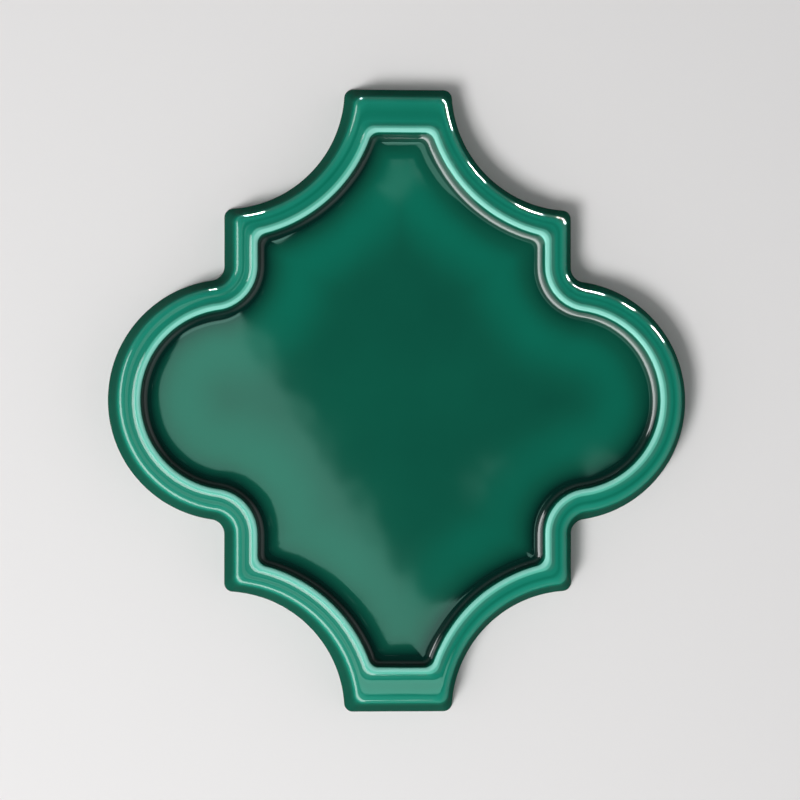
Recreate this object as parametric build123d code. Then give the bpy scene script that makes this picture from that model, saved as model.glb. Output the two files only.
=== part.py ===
from build123d import *
import math
import os

# Glazed ceramic relief tile of arabesque (lantern) outline, lying on its back.
# X runs lobe to lobe, Y runs neck to neck, Z points out of the glazed face.
# The origin is the middle of the back face. Millimetres.

# plan of the tile
length = 150.0            # neck edge to neck edge
width = 140.0             # lobe to lobe
neck_width = 26.0         # straight edge of each neck, between sharp corners
flank_radius = 29.0       # hollow on both sides of a neck
lobe_radius = 29.0        # side lobes
notch_radius = 3.5        # hollow corner where the step meets the lobe
corner_radius = 2.0       # outer corners

# levels above the back
field_height = 6.5        # recessed field
shoulder_height = 9.2     # flat of the rim outside the moulding
ridge_height = 10.0       # crest of the moulding

# rim
side_draft = 14.0         # degrees, the press draft of the sides
shoulder_round = 1.6      # rounding over the top outer edge
ridge_inset = 6.5         # crest in from the curved edges
neck_ridge_inset = 10.0   # crest in from the neck edges
bead_radius = 1.0         # round crest
outer_slope = 41.0        # degrees, from the crest out to the shoulder
wall_lean = 20.0          # degrees off vertical, wall from the crest to the field
foot_slope = 35.0         # degrees, splay between that wall and the field
foot_height = 1.1         # of the splay

# back
groove_width = 3.0
groove_depth = 0.8
groove_pitch = 9.0
back_border = 8.0         # plain margin around the keying grooves

up = (0, 0, 1)
touch = 1e-3              # two points closer than this are one
flank_x = neck_width / 2 + flank_radius
lobe_x = width / 2 - lobe_radius
notch_x = flank_x + notch_radius
notch_y = math.sqrt((lobe_radius + notch_radius) ** 2 - (notch_x - lobe_x) ** 2)
notch_turn = math.degrees(math.atan2(notch_y, notch_x - lobe_x))


def quarter(inset, neck_inset):
    """Edges of one quarter of the outline, moved inwards by the two insets."""
    flank = flank_radius + inset
    neck_y = length / 2 - neck_inset
    neck_x = flank_x - math.sqrt(flank ** 2 - neck_inset ** 2)
    step_x = flank_x - inset
    step_y = length / 2 - math.sqrt(flank ** 2 - inset ** 2)
    start = 180 + math.degrees(math.asin(neck_inset / flank))
    stop = 270 - math.degrees(math.asin(inset / flank))
    return [
        Edge.make_line((0, neck_y), (neck_x, neck_y)),
        CenterArc((flank_x, length / 2), flank, start, stop - start).edge(),
        Edge.make_line((step_x, step_y), (step_x, notch_y)),
        CenterArc((notch_x, notch_y), notch_radius + inset, 180, notch_turn).edge(),
        CenterArc((lobe_x, 0), lobe_radius - inset, notch_turn, -notch_turn).edge(),
    ]


def outline(inset, neck_inset):
    """Face of the whole outline: the quarter with its mirror images."""
    edges = quarter(inset, neck_inset)
    edges += [mirror(e, Plane.YZ).edge() for e in edges]
    edges += [mirror(e, Plane.XZ).edge() for e in edges]
    return Face(Wire(edges))


def pressed_slab():
    """Slab up to the shoulder, with drafted sides and rounded outer corners."""
    slab = extrude(outline(0, 0), shoulder_height, dir=up, taper=side_draft)
    sharp = [(neck_width / 2, length / 2), (flank_x, length / 2 - flank_radius)]

    def at_sharp(v):
        return any(abs(abs(v.X) - x) < touch and abs(abs(v.Y) - y) < touch for x, y in sharp)

    rising = [e for e in slab.edges() if e.bounding_box().size.Z > touch]
    slab = fillet([e for e in rising if any(at_sharp(v) for v in e.vertices())], corner_radius)
    return fillet(slab.faces().sort_by(Axis.Z)[-1].edges(), shoulder_round)


def over_neck(u, v):
    """Point of the moulding's section over the upper neck: u outwards from the crest, v up."""
    return (0, length / 2 - neck_ridge_inset + u, v)


def on_bead(angle):
    """Point of the bead's section at an angle outwards from its crest."""
    axis_height = ridge_height - bead_radius
    return over_neck(bead_radius * math.sin(angle), axis_height + bead_radius * math.cos(angle))


def moulding_section():
    """Splayed foot, wall, round bead and the slope outside it, with a plain root in the slab."""
    root = field_height / 2
    wall = math.radians(90 - wall_lean)
    foot = math.radians(foot_slope)
    slope = math.radians(outer_slope)
    bead_side = bead_radius * (1 - math.cos(wall))
    bead_edge = bead_radius * (1 - math.cos(slope))

    wall_v = field_height + foot_height
    wall_u = -bead_radius * math.sin(wall) - (ridge_height - bead_side - wall_v) / math.tan(wall)
    foot_u = wall_u - foot_height / math.tan(foot)
    slope_u = bead_radius * math.sin(slope)
    slope_u += (ridge_height - bead_edge - shoulder_height) / math.tan(slope)

    p = [
        over_neck(foot_u, root),
        over_neck(foot_u, field_height),
        over_neck(wall_u, wall_v),
        on_bead(-wall),
        on_bead(0),
        on_bead(slope),
        over_neck(slope_u, shoulder_height),
        over_neck(slope_u, root),
    ]
    return Face(Wire([
        Edge.make_line(p[0], p[1]),
        Edge.make_line(p[1], p[2]),
        Edge.make_line(p[2], p[3]),
        Edge.make_three_point_arc(p[3], on_bead(-wall / 2), p[4]),
        Edge.make_three_point_arc(p[4], on_bead(slope / 2), p[5]),
        Edge.make_line(p[5], p[6]),
        Edge.make_line(p[6], p[7]),
        Edge.make_line(p[7], p[0]),
    ]))


def keying_grooves():
    """Grooves across the back inside its plain margin, none on the centre line."""
    inside = extrude(outline(back_border, back_border), groove_depth, dir=up)
    rows = math.floor((length / 2 - back_border) / groove_pitch)
    places = [side * (i + 0.5) * groove_pitch for i in range(rows) for side in (1, -1)]
    return [Pos(0, y, 0) * Box(width, groove_width, 2 * groove_depth) & inside for y in places]


tile = pressed_slab()
crest = outline(ridge_inset, neck_ridge_inset)
tile -= Pos(0, 0, field_height) * extrude(crest, ridge_height, dir=up)
tile += sweep(moulding_section(), path=crest.outer_wire(), transition=Transition.RIGHT)
for groove in keying_grooves():
    tile -= groove

os.makedirs("parts", exist_ok=True)
export_step(tile, "parts/relief_tile.step")
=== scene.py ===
import math

import bmesh
import bpy
from mathutils import Matrix, Vector, noise


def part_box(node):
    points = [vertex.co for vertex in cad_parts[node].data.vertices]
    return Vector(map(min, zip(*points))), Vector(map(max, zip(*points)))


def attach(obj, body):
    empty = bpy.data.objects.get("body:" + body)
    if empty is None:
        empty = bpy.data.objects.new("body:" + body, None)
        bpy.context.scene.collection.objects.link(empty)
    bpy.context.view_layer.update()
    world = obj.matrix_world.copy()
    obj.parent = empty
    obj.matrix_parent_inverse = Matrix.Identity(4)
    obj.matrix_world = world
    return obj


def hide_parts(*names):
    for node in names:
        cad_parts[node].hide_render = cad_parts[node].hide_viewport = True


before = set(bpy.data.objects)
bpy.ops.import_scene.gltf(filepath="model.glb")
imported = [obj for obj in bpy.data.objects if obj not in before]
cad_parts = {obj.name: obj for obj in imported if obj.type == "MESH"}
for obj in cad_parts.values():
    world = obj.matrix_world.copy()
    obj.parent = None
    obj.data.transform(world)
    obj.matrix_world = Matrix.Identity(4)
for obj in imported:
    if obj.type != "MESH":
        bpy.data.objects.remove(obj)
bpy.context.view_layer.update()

# Glazed relief tile of lantern outline, lying on its back on a pale floor.
# Metres, in the frame of the solids: X lobe to lobe, Y neck to neck, Z out of the glaze.
mm = 0.001
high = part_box("relief_tile")[1]
half_width = high.x
half_length = high.y
crest_height = high.z

# plan of the tile
neck_half = 13.0 * mm           # half of the neck edge, between sharp corners
flank_radius = 29.0 * mm        # hollow on both sides of a neck
lobe_radius = 29.0 * mm
notch_radius = 3.5 * mm         # hollow corner where the step meets the lobe
edge_corner = 2.1 * mm          # rounding of the outer corners at the edge
crest_corner = 2.7 * mm         # and on the crest
flank_x = neck_half + flank_radius
lobe_x = half_width - lobe_radius
notch_x = flank_x + notch_radius
notch_y = math.sqrt((lobe_radius + notch_radius) ** 2 - (notch_x - lobe_x) ** 2)
notch_turn = math.atan2(notch_y, notch_x - lobe_x)

# section of the rim, measured in from the outline and up from the back
field_height = 6.5 * mm
shoulder_height = 9.2 * mm
side_draft = math.radians(14.0)
back_round = 0.3 * mm           # soft lower edge
shoulder_round = 1.6 * mm
ridge_inset = 6.5 * mm          # crest of the moulding
neck_ridge_inset = 10.0 * mm    # the same, behind a neck edge
neck_lean = 0.6 * mm            # of a neck's side, beyond the draft of the others
bead_radius = 1.0 * mm
cove_slope = math.radians(41.0)  # of the bead where the cove starts
wall_tilt = math.radians(70.0)  # slope of the wall from the crest to the field
foot_radius = 1.8 * mm
pool_rise = 0.10 * mm           # of the glaze where it meets the rim
pool_reach = 1.4 * mm
pool_steps = (0.35 * mm, 0.5 * mm, 0.65 * mm, 0.85 * mm, 1.05 * mm)
pool_width = sum(pool_steps)

# the flat of the shoulder lies between the arris and the cove
arris_top = shoulder_height * math.tan(side_draft)
arris_top += shoulder_round * math.tan(math.pi / 4 - side_draft / 2)
cove_rise = crest_height - shoulder_height - bead_radius * (1 - math.cos(cove_slope))
cove_radius = cove_rise / (1 - math.cos(cove_slope))
cove_foot = ridge_inset - (bead_radius + cove_radius) * math.sin(cove_slope)

# back
groove_width = 3.0 * mm
groove_depth = 0.8 * mm
groove_pitch = 9.0 * mm
back_border = 8.0 * mm          # plain margin around the keying grooves

# thickness of the glaze, about 0 where it runs thin and about 1 where it pools; the wall and foot values
# also hold painted shade
# the outer sides are given a dark value
glaze_side = 0.82
glaze_arris = 0.45
glaze_shoulder = 0.5
glaze_trough = 0.61
glaze_cove = 0.5
glaze_bead = 0.25
glaze_crest = -0.05
# the wall and foot are darker: pooled glaze, with painted shade at the foot of the rim on top of it
wall_glaze_and_shade = 0.8
foot_glaze_and_shade = 1.05
glaze_field = 0.765
glaze_blend = 2                 # times that neighbouring stations are blended

# glaze on the field
foot_reach = 3.0 * mm           # over which the pooled glaze and painted shade at the foot fade out
shelf_glaze = 0.15              # paler by this much between the foot and the middle
shelf_near, shelf_far = 5.0 * mm, 21.0 * mm
upward_paling = 0.07                # paler still towards the upper neck, darker towards the lower
lit_start, lit_stop = 45 * mm, 72 * mm  # of x + y: towards the upper right, where the lamp falls, the painted shade at the foot is taken out
lit_corner_share = 0.7
level_start, level_stop = 5 * mm, 25 * mm   # of x: right of it the pooled glaze lies level

# gloss of the glaze, as a share
thin_gloss = 0.15               # where it runs thin over the crest
thin_below = 0.6                # thickness from which it is full
side_gloss = 0.05               # on the outer sides
steep, gentle = 0.5, 0.67       # upward part of the normal, on a side and on the top

# slow waves in the glaze
wave_length = 6 * mm
wave_depth = 0.045 * mm
calm_depth = 0.005 * mm         # where the glaze lies flat
calm_from = 0.97                # upward part of the normal, from which they calm down
wave_low, wave_high = 1.0 * mm, 3.0 * mm    # heights between which they set in

# how finely each stretch of the outline and of the section is divided
neck_steps, corner_steps, flank_steps, step_steps, notch_steps, lobe_steps = 8, 8, 36, 8, 14, 36
back_steps, side_steps, arris_steps, flat_steps, cove_steps = 3, 7, 12, 2, 11
bead_steps, crest_steps, wall_steps, foot_steps = 6, 9, 4, 12
field_pitch = 1.6 * mm          # of the squares in which the field is cut
merge_reach = 1e-7              # two points closer than this are one
sharp_angle = math.radians(60)  # between two faces, from which their edge is drawn sharp


def part_way(value, start, stop):
    """Share of the way from the start to the stop, held between 0 and 1."""
    return min(max((value - start) / (stop - start), 0), 1)


def ease(value, start, stop):
    """The same share, with a smooth start and stop."""
    t = part_way(value, start, stop)
    return t * t * (3 - 2 * t)


def last_vert(made):
    """The last vertex that a spin made."""
    return [g for g in made["geom_last"] if isinstance(g, bmesh.types.BMVert)][0]


def drawn(bm, vert, end, steps):
    """Pulls a vertex along a straight line in equal steps and gives the last vertex."""
    pull = (Vector(end) - vert.co) / steps
    up = (0, 0, 1)
    return last_vert(bmesh.ops.spin(bm, geom=[vert], dvec=pull, angle=0, steps=steps, cent=vert.co, axis=up))


def turned(bm, vert, centre, angle, steps, axis=(0, 0, 1)):
    """Turns a vertex about a centre in equal steps and gives the last vertex."""
    return last_vert(bmesh.ops.spin(bm, geom=[vert], cent=centre, axis=axis, angle=angle, steps=steps))


def corner_radius(inset):
    """Plan rounding of the outer corners: tight at the edge, softer on the crest."""
    on_crest = max(0.0, 1 - abs(inset - ridge_inset) / ridge_inset)
    return edge_corner + (crest_corner - edge_corner) * on_crest


def neck_inset(inset):
    """The rim is wider behind a neck edge: its flat takes up the difference."""
    over_flat = part_way(inset, arris_top, cove_foot)
    lean = part_way(inset, 0, arris_top) * (1 - over_flat)
    return inset + over_flat * (neck_ridge_inset - ridge_inset) + lean * neck_lean


def quarter_ring(bm, inset, height, glaze_and_shade):
    """Chain of edges along one quarter of the outline at an inset and a height."""
    known = set(bm.edges)
    flank = flank_radius + inset
    edge_y = half_length - neck_inset(inset)
    edge_x = flank_x - inset
    r = corner_radius(inset)

    neck_turn_y = edge_y - r
    neck_turn_x = flank_x - math.sqrt((flank + r) ** 2 - (half_length - neck_turn_y) ** 2)
    step_turn_x = edge_x - r
    step_turn_y = half_length - math.sqrt((flank + r) ** 2 - (flank_x - step_turn_x) ** 2)
    neck_angle = math.atan2(half_length - neck_turn_y, flank_x - neck_turn_x)
    step_angle = math.atan2(half_length - step_turn_y, flank_x - step_turn_x)

    v = bm.verts.new((0, edge_y, height))
    v[bm.verts.layers.float["glaze_and_shade"]] = glaze_and_shade
    v = drawn(bm, v, (neck_turn_x, edge_y, height), neck_steps)
    v = turned(bm, v, (neck_turn_x, neck_turn_y, height), neck_angle - math.pi / 2, corner_steps)
    v = turned(bm, v, (flank_x, half_length, height), step_angle - neck_angle, flank_steps)
    v = turned(bm, v, (step_turn_x, step_turn_y, height), -step_angle, corner_steps)
    v = drawn(bm, v, (edge_x, notch_y, height), step_steps)
    v = turned(bm, v, (notch_x, notch_y, height), notch_turn, notch_steps)
    turned(bm, v, (lobe_x, 0, height), -notch_turn, lobe_steps)
    return [e for e in bm.edges if e not in known]


def ring_ends(ring):
    """The two vertices at the ends of a ring's chain."""
    verts = dict.fromkeys(v for e in ring for v in e.verts)
    return [v for v in verts if sum(e in ring for e in v.link_edges) == 1]


def mirrored(bm):
    """Makes the whole of a quarter, with its faces turned outwards."""
    for axis in ("X", "Y"):
        quarter = bm.verts[:] + bm.edges[:] + bm.faces[:]
        bmesh.ops.mirror(bm, geom=quarter, matrix=Matrix(), merge_dist=merge_reach, axis=axis)
    bmesh.ops.recalc_face_normals(bm, faces=bm.faces[:])


def shelf(gap):
    """How far a point of the field at a distance from the foot lies on the paler zone."""
    return (1 - math.exp(-gap / foot_reach)) * (1 - ease(gap, shelf_near, shelf_far))


def field_glaze_and_shade(gap):
    """Glaze value on the field at a distance from the foot of the rim, darker near the foot with pooled
    glaze and painted shade.
    """
    pool_and_shade = (foot_glaze_and_shade - glaze_field) * math.exp(-gap / foot_reach)
    return glaze_field + pool_and_shade - shelf_glaze * shelf(gap)


def field_level(gap):
    """Height of the field at a distance from the foot of the rim."""
    return field_height + pool_rise * math.exp(-gap / pool_reach)


def rim_section():
    """Stations of the section from the back edge to the field, as (inset, height, glaze)."""
    bm = bmesh.new()
    glaze_and_shade = bm.verts.layers.float.new("glaze_and_shade")
    across = (0, 1, 0)

    def coated(vert, amount):
        vert[glaze_and_shade] = amount
        return vert

    v = coated(bm.verts.new((back_round, 0, 0)), glaze_side)
    v = turned(bm, v, (back_round, 0, back_round), math.pi / 2, back_steps, across)
    turn = Vector((arris_top, 0, shoulder_height - shoulder_round))
    start = turn + shoulder_round * Vector((-math.cos(side_draft), 0, math.sin(side_draft)))
    v = drawn(bm, v, start, side_steps)
    v = turned(bm, coated(v, glaze_arris), turn, math.pi / 2 - side_draft, arris_steps, across)
    flat_middle = (arris_top + cove_foot) / 2
    v = drawn(bm, coated(v, glaze_shoulder), (flat_middle, 0, shoulder_height), flat_steps)
    v = drawn(bm, coated(v, glaze_trough), (cove_foot, 0, shoulder_height), flat_steps)
    cove = Vector((cove_foot, 0, shoulder_height + cove_radius))
    v = turned(bm, coated(v, glaze_cove), cove, -cove_slope, cove_steps, across)
    bead = Vector((ridge_inset, 0, crest_height - bead_radius))
    v = turned(bm, coated(v, glaze_bead), bead, cove_slope, bead_steps, across)
    v = turned(bm, coated(v, glaze_crest), bead, wall_tilt, crest_steps, across)

    last_tilt = math.atan(pool_rise / pool_reach)
    foot_z = field_height + pool_rise + foot_radius * (math.cos(last_tilt) - math.cos(wall_tilt))
    foot_x = v.co.x + (v.co.z - foot_z) / math.tan(wall_tilt)
    v = drawn(bm, coated(v, wall_glaze_and_shade), (foot_x, 0, foot_z), wall_steps)
    foot = v.co + foot_radius * Vector((math.sin(wall_tilt), 0, math.cos(wall_tilt)))
    v = turned(bm, coated(v, foot_glaze_and_shade), foot, last_tilt - wall_tilt, foot_steps, across)
    foot_end = v.co.x
    for step in pool_steps:
        x = v.co.x + step
        v = drawn(bm, v, (x, 0, field_level(x - foot_end)), 1)
        v[glaze_and_shade] = field_glaze_and_shade(x - foot_end)

    amounts = [v[glaze_and_shade] for v in bm.verts]
    for _ in range(glaze_blend):
        inner = [(a + 2 * b + c) / 4 for a, b, c in zip(amounts, amounts[1:], amounts[2:])]
        amounts = [amounts[0], *inner, amounts[-1]]
    stations = [(v.co.x, v.co.z, amount) for v, amount in zip(bm.verts, amounts)]
    bm.free()
    return stations


section = rim_section()
rim_width = section[-1][0]


def closed_quarter(bm, ring):
    """Fills the quarter between a ring's chain and the two middle lines."""
    ends = ring_ends(ring)
    middle = bm.verts.new((0, 0, ends[0].co.z))
    sides = [bm.edges.new((end, middle)) for end in ends]
    return bmesh.ops.contextual_create(bm, geom=ring + sides)["faces"]


def divided(bm, faces, place, across):
    """Cuts flat faces at a plane through a place and gives the faces on both sides."""
    geom = dict.fromkeys(g for f in faces for g in (f, *f.edges, *f.verts))
    cut = bmesh.ops.bisect_plane(bm, geom=list(geom), plane_co=place, plane_no=across)
    return [g for g in cut["geom"] if isinstance(g, bmesh.types.BMFace)]


def cut_in_squares(bm, faces):
    """Divides the field along lines a pitch apart both ways."""
    for axis, reach in ((Vector((1, 0, 0)), half_width), (Vector((0, 1, 0)), half_length)):
        for i in range(1, int(reach / field_pitch) + 1):
            faces = divided(bm, faces, axis * i * field_pitch, axis)


def keying_grooves(bm, back):
    """Cuts the back's flat at the grooves' edges and sinks the strips between them."""
    rows = int((half_length - back_border) / groove_pitch)
    middles = [(i + 0.5) * groove_pitch for i in range(rows)]
    for middle in middles:
        for edge in (middle - groove_width / 2, middle + groove_width / 2):
            back = divided(bm, back, (0, edge, 0), (0, 1, 0))
    sunk = [
        f for f in back
        if any(abs(f.calc_center_median().y - middle) < groove_width / 2 for middle in middles)
    ]
    made = bmesh.ops.extrude_face_region(bm, geom=sunk)["geom"]
    moved = [g for g in made if isinstance(g, bmesh.types.BMVert)]
    bmesh.ops.translate(bm, vec=(0, 0, groove_depth), verts=moved)
    on_middle = [f for f in bm.faces if all(abs(v.co.x) < merge_reach for v in f.verts)]
    bmesh.ops.delete(bm, geom=sunk + on_middle, context="FACES")


def rim_gap(x, y):
    """Distance of a point from the field's last ring, negative outside it."""
    x, y = abs(x), abs(y)
    gaps = [
        math.hypot(x - flank_x, y - half_length) - flank_radius - rim_width,
        half_length - y - rim_width - neck_ridge_inset + ridge_inset,
        math.hypot(x - notch_x, y - notch_y) - notch_radius - rim_width,
    ]
    if y > notch_y:
        gaps.append(flank_x - x - rim_width)
    if x > lobe_x and math.atan2(y, x - lobe_x) < notch_turn:
        gaps.append(lobe_radius - math.hypot(x - lobe_x, y) - rim_width)
    return min(gaps)


def settle_glaze_and_shade(bm):
    """Lowers the pool on the right, takes the painted shade at the foot out towards the upper right, pales
    the field upwards, gives the glaze its gloss and makes it stand in slow waves.
    """
    glaze_and_shade = bm.verts.layers.float["glaze_and_shade"]
    glazed = bm.verts.layers.float["glazed"]
    gloss = bm.verts.layers.float["gloss"]
    bm.normal_update()
    for v in bm.verts:
        outward = v.normal.x * v.co.x + v.normal.y * v.co.y > 0
        level = part_way(v.normal.z, steep, gentle) if outward else 1.0
        thin = min(max(v[glaze_and_shade] / thin_below, thin_gloss), 1)
        v[gloss] = v[glazed] * (side_gloss + (1 - side_gloss) * level) * thin

        gap = rim_gap(v.co.x, v.co.y)
        from_foot = gap + pool_width
        if v.normal.z > 0 and gap > ridge_inset - rim_width:
            pool = ease(from_foot, -foot_radius, 0) * math.exp(-max(from_foot, 0) / pool_reach)
            v.co.z -= pool_rise * pool * ease(v.co.x, level_start, level_stop)
            lit_corner = lit_corner_share * ease(v.co.x + v.co.y, lit_start, lit_stop)
            v[glaze_and_shade] -= lit_corner * max(v[glaze_and_shade] - glaze_field, 0)
            v[glaze_and_shade] -= upward_paling * v.co.y / half_length * shelf(max(gap, 0) + pool_width)

        wave = noise.noise(v.co / wave_length) * 0.5 + 0.5
        calm = part_way(v.normal.z, calm_from, 1)
        depth = wave_depth + (calm_depth - wave_depth) * calm
        v.co -= v.normal * depth * wave * part_way(v.co.z, wave_low, wave_high)


def tile_mesh():
    """Rim, field and grooved back of one quarter, with its mirror images."""
    bm = bmesh.new()
    glaze_and_shade = bm.verts.layers.float.new("glaze_and_shade")
    glazed = bm.verts.layers.float.new("glazed")
    bm.verts.layers.float.new("gloss")
    rings = [quarter_ring(bm, *station) for station in section]
    for lower, upper in zip(rings, rings[1:]):
        bmesh.ops.bridge_loops(bm, edges=lower + upper)
    rim_verts = set(bm.verts)
    cut_in_squares(bm, closed_quarter(bm, rings[-1]))
    for v in bm.verts:
        if v not in rim_verts:
            gap = max(rim_gap(v.co.x, v.co.y), 0) + pool_width
            v[glaze_and_shade] = field_glaze_and_shade(gap)
            v.co.z = field_level(gap)

    # the back is bare, and the glaze starts on its soft edge
    bare = {v for ring in rings[:2] for e in ring for v in e.verts}
    for v in bm.verts:
        v[glazed] = 0.0 if v in bare else 1.0
    margin = quarter_ring(bm, back_border, 0, glaze_side)
    bmesh.ops.bridge_loops(bm, edges=rings[0] + margin)
    keying_grooves(bm, closed_quarter(bm, margin))

    mirrored(bm)
    settle_glaze_and_shade(bm)
    mesh = bpy.data.meshes.new("glazed_tile")
    bm.to_mesh(mesh)
    bm.free()
    mesh.shade_smooth()
    mesh.set_sharp_from_angle(angle=sharp_angle)
    return mesh


# green of the glaze by its thickness, whose deep end also gives the painted shade at the foot
glaze_colors = (
    (0.0, (0.26, 0.68, 0.57, 1)),
    (0.25, (0.11, 0.50, 0.38, 1)),
    (0.45, (0.012, 0.25, 0.17, 1)),
    (0.6, (0.0035, 0.16, 0.102, 1)),
    (0.75, (0.004, 0.10, 0.062, 1)),
    (1.0, (0.001, 0.02, 0.015, 1)),
)
clay_color = (0.62, 0.50, 0.40, 1)
cloud_scale = 45                # of the faint clouds in the glaze
cloud_detail = 3
cloud_strength = 0.1            # in thickness


def green_glaze():
    """Deep green under a clear gloss, paler where the glaze runs thin and darker at the foot of the rim with
    pooled glaze and painted shade, with bare clay behind.
    """
    material = bpy.data.materials.new("green_glaze")
    material.use_nodes = True
    nodes, links = material.node_tree.nodes, material.node_tree.links
    shader = nodes["Principled BSDF"]

    def attribute(name):
        node = nodes.new("ShaderNodeAttribute")
        node.attribute_name = name
        return node.outputs["Fac"]

    place = nodes.new("ShaderNodeTexCoord")
    cloud = nodes.new("ShaderNodeTexNoise")
    cloud.inputs["Scale"].default_value = cloud_scale
    cloud.inputs["Detail"].default_value = cloud_detail
    links.new(place.outputs["Object"], cloud.inputs["Vector"])
    centred = nodes.new("ShaderNodeMath")
    centred.operation = "MULTIPLY_ADD"
    centred.inputs[1].default_value = cloud_strength
    centred.inputs[2].default_value = -cloud_strength / 2
    links.new(cloud.outputs["Fac"], centred.inputs[0])
    depth = nodes.new("ShaderNodeMath")
    depth.operation = "ADD"
    links.new(attribute("glaze_and_shade"), depth.inputs[0])
    links.new(centred.outputs["Value"], depth.inputs[1])

    ramp = nodes.new("ShaderNodeValToRGB")
    stops = ramp.color_ramp.elements
    thinnest, *between, thickest = glaze_colors
    stops[0].position, stops[0].color = thinnest
    stops[1].position, stops[1].color = thickest
    for position, color in between:
        stops.new(position).color = color
    links.new(depth.outputs["Value"], ramp.inputs["Fac"])

    body = nodes.new("ShaderNodeMix")
    body.data_type = "RGBA"
    links.new(attribute("glazed"), body.inputs["Factor"])
    body.inputs["A"].default_value = clay_color
    links.new(ramp.outputs["Color"], body.inputs["B"])
    links.new(body.outputs["Result"], shader.inputs["Base Color"])
    links.new(attribute("gloss"), shader.inputs["Coat Weight"])

    shader.inputs["Roughness"].default_value = 0.6
    shader.inputs["Specular IOR Level"].default_value = 0.0
    shader.inputs["Coat Roughness"].default_value = 0.03
    shader.inputs["Coat IOR"].default_value = 1.5
    return material


tile = bpy.data.objects.new("glazed_tile", tile_mesh())
bpy.context.collection.objects.link(tile)
tile.data.materials.append(green_glaze())
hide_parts("relief_tile")
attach(tile, "root")

# pale floor
floor_reach = 3.0
floor_color = (0.8, 0.785, 0.785, 1)


def pale_floor():
    """Floor with an opening in which the tile lies, so that its back shows from below."""
    bm = bmesh.new()
    bm.verts.layers.float.new("glaze_and_shade")
    opening = quarter_ring(bm, back_round, 0, 0)
    near_neck, near_lobe = sorted(ring_ends(opening), key=lambda v: v.co.x)
    corners = [(0, floor_reach, 0), (floor_reach, floor_reach, 0), (floor_reach, 0, 0)]
    rim = [near_neck, *(bm.verts.new(corner) for corner in corners), near_lobe]
    rim = [bm.edges.new(pair) for pair in zip(rim, rim[1:])]
    bmesh.ops.contextual_create(bm, geom=opening + rim)
    mirrored(bm)
    mesh = bpy.data.meshes.new("floor")
    bm.to_mesh(mesh)
    bm.free()

    pale = bpy.data.materials.new("pale_floor")
    pale.use_nodes = True
    shader = pale.node_tree.nodes["Principled BSDF"]
    shader.inputs["Base Color"].default_value = floor_color
    shader.inputs["Roughness"].default_value = 0.9
    shader.inputs["Specular IOR Level"].default_value = 0.0
    mesh.materials.append(pale)
    return bpy.data.objects.new("floor", mesh)


floor = pale_floor()
bpy.context.collection.objects.link(floor)


def toward(azimuth, elevation):
    """Direction at an azimuth from +X towards +Y and an elevation, both in degrees."""
    az, el = math.radians(azimuth), math.radians(elevation)
    return Vector((math.cos(az) * math.cos(el), math.sin(az) * math.cos(el), math.sin(el)))


def area_light(name, azimuth, elevation, distance, size, radiance):
    """Soft lamp aimed at the tile."""
    data = bpy.data.lights.new(name, "AREA")
    data.shape = "RECTANGLE"
    data.size, data.size_y = size
    data.energy = radiance * math.pi * size[0] * size[1]
    lamp = bpy.data.objects.new(name, data)
    away = toward(azimuth, elevation)
    lamp.location = away * distance
    lamp.rotation_mode = "QUATERNION"
    lamp.rotation_quaternion = away.to_track_quat("Z", "Y")
    lamp.visible_camera = False
    bpy.context.collection.objects.link(lamp)
    return lamp


# a soft key, a wide low window that the glaze mirrors, and four low lamps beyond the far side
key = area_light("key_softbox", 222, 52, distance=1.2, size=(0.36, 0.36), radiance=28)
key.visible_glossy = False
window = area_light("low_window", 213, 24, distance=1.2, size=(3.8, 0.85), radiance=9)
window.visible_diffuse = False
far_distance = 0.26
far_elevation = 1.8
far_height = 0.014
far_radiance = 2500
for azimuth, width in ((29, 0.040), (46, 0.030), (62, 0.034), (103, 0.036)):
    lamp = area_light("far_lamp", azimuth, far_elevation, far_distance, (width, far_height), far_radiance)
    lamp.visible_diffuse = False

# where the camera stands, and its place over the level mirror of the field
view_distance = 1.2
tile_share = 0.78               # of the picture's height
lean_x = math.radians(5.5)      # off the vertical, towards -X
lean_y = math.radians(1.0)      # and towards -Y
back_axis = Vector((-math.tan(lean_x), -math.tan(lean_y), 1)).normalized()
view_point = Vector((0, 0, crest_height / 2)) + back_axis * view_distance
sight = Vector((view_point.x, view_point.y, view_point.z - field_height))

# dim room, by the upward part of a direction
room_dim = 0.02
room_low = 0.33                 # added low down
room_fade = (0.85, 0.1)
glow_strength = 0.5
glows = ((215, 35, 0.5, 0.85), (-10, 15, 0.6, 0.9))     # azimuth, elevation, cosines of its fade

# soft pane overhead: its edge crosses the field from the left lobe to the lower neck
pane_color = (1.04, 2.15, 1.8, 1)
pane_normal = (0.844, 0.537)
pane_edge = -0.0218
pane_soft = 0.005
pane_ragged = 0.010
ragged_scale = 170
ragged_detail = 5
pane_depth = (-0.13, -0.075)    # fade of its outer side, along its normal
pane_left = (-0.14, -0.09)      # fade of its left end, along X
pane_near = (-0.13, -0.09)      # fade of its near end, along Y
glare_fade = (-0.060, -0.066)   # along Y, towards the lower neck, where it is brighter
glare = 0.75                    # by this share
pane_smears = (                 # small marks beside it: x, y, reach, strength
    (-0.002, 0.052, 0.004, 0.7),
    (0.021, -0.016, 0.005, 0.35),
    (0.018, -0.021, 0.005, 0.35),
    (0.047, -0.016, 0.006, 0.7),
)
lowest_z = 0.1                  # a lower direction meets the mirror as this one does


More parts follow.
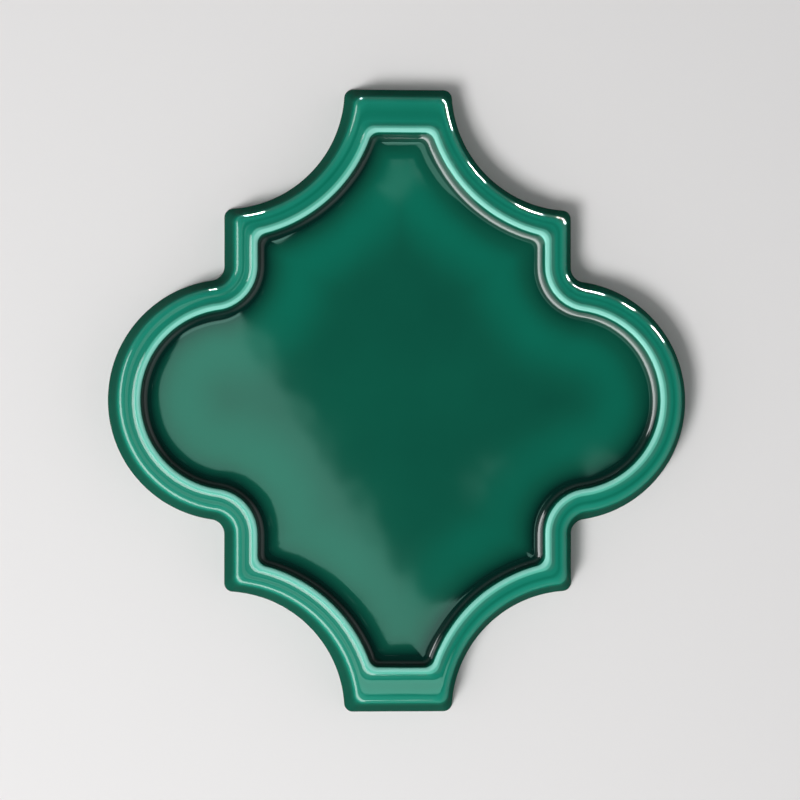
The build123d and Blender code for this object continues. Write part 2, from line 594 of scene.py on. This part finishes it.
def studio_world():
    """Dim room: brighter low down and on two sides, with a soft pane high up on the left."""
    world = bpy.data.worlds.new("studio")
    world.use_nodes = True
    nodes, links = world.node_tree.nodes, world.node_tree.links

    def plug(value, socket):
        if isinstance(value, bpy.types.NodeSocket):
            links.new(value, socket)
        else:
            socket.default_value = value

    def math_node(operation, *values):
        node = nodes.new("ShaderNodeMath")
        node.operation = operation
        for value, socket in zip(values, node.inputs):
            plug(value, socket)
        return node.outputs["Value"]

    def vector_node(operation, a, b):
        node = nodes.new("ShaderNodeVectorMath")
        node.operation = operation
        plug(a, node.inputs[0])
        plug(b, node.inputs[1])
        return node.outputs["Value"]

    def eased(value, start, stop, top=1.0):
        node = nodes.new("ShaderNodeMapRange")
        node.interpolation_type = "SMOOTHSTEP"
        plug(value, node.inputs["Value"])
        node.inputs["From Min"].default_value = start
        node.inputs["From Max"].default_value = stop
        node.inputs["To Max"].default_value = top
        return node.outputs["Result"]

    where = nodes.new("ShaderNodeTexCoord").outputs["Generated"]
    split = nodes.new("ShaderNodeSeparateXYZ")
    plug(where, split.inputs["Vector"])
    x, y, z = split.outputs
    room = math_node("ADD", eased(z, *room_fade, room_low), room_dim)
    for azimuth, elevation, start, stop in glows:
        near = vector_node("DOT_PRODUCT", where, toward(azimuth, elevation))
        room = math_node("ADD", room, eased(near, start, stop, glow_strength))

    # the pane is laid out by the point of a level mirror in which the camera sees it
    height = math_node("MAXIMUM", z, lowest_z)
    across = math_node("MULTIPLY_ADD", math_node("DIVIDE", x, height), sight.z, sight.x)
    along = math_node("MULTIPLY_ADD", math_node("DIVIDE", y, height), sight.z, sight.y)
    spot = nodes.new("ShaderNodeCombineXYZ")
    plug(across, spot.inputs["X"])
    plug(along, spot.inputs["Y"])
    ragged = nodes.new("ShaderNodeTexNoise")
    ragged.inputs["Scale"].default_value = ragged_scale
    ragged.inputs["Detail"].default_value = ragged_detail
    plug(spot.outputs["Vector"], ragged.inputs["Vector"])
    inward = math_node("MULTIPLY", across, pane_normal[0])
    inward = math_node("ADD", inward, math_node("MULTIPLY", along, pane_normal[1]))
    inward = math_node("MULTIPLY_ADD", ragged.outputs["Fac"], pane_ragged, inward)
    edge = pane_edge + pane_ragged / 2
    pane = eased(inward, edge + pane_soft / 2, edge - pane_soft / 2)
    for value, fade in ((inward, pane_depth), (across, pane_left), (along, pane_near)):
        pane = math_node("MULTIPLY", pane, eased(value, *fade))
    pane = math_node("MULTIPLY", pane, math_node("ADD", eased(along, *glare_fade, glare), 1.0))
    for smear_x, smear_y, reach, strength in pane_smears:
        apart = vector_node("DISTANCE", spot.outputs["Vector"], (smear_x, smear_y, 0))
        frayed = math_node("MULTIPLY_ADD", ragged.outputs["Fac"], pane_ragged, apart)
        pane = math_node("ADD", pane, eased(frayed, pane_ragged / 2 + reach, pane_ragged / 2, strength))

    tinted = nodes.new("ShaderNodeMix")
    tinted.data_type = "RGBA"
    tinted.blend_type = "ADD"
    tinted.clamp_factor = False
    plug(room, tinted.inputs["A"])
    plug(pane_color, tinted.inputs["B"])
    plug(pane, tinted.inputs["Factor"])
    plug(tinted.outputs["Result"], nodes["Background"].inputs["Color"])
    return world


bpy.context.scene.world = studio_world()

lens_data = bpy.data.cameras.new("camera")
lens_data.lens = lens_data.sensor_width * view_distance * tile_share / (2 * half_length)
camera = bpy.data.objects.new("camera", lens_data)
bpy.context.collection.objects.link(camera)
right_axis = Vector((0, 1, 0)).cross(back_axis).normalized()
turn = Matrix((right_axis, back_axis.cross(right_axis), back_axis)).transposed().to_4x4()
camera.matrix_world = Matrix.Translation(view_point) @ turn
bpy.context.scene.camera = camera
bpy.context.scene.view_settings.view_transform = "Standard"
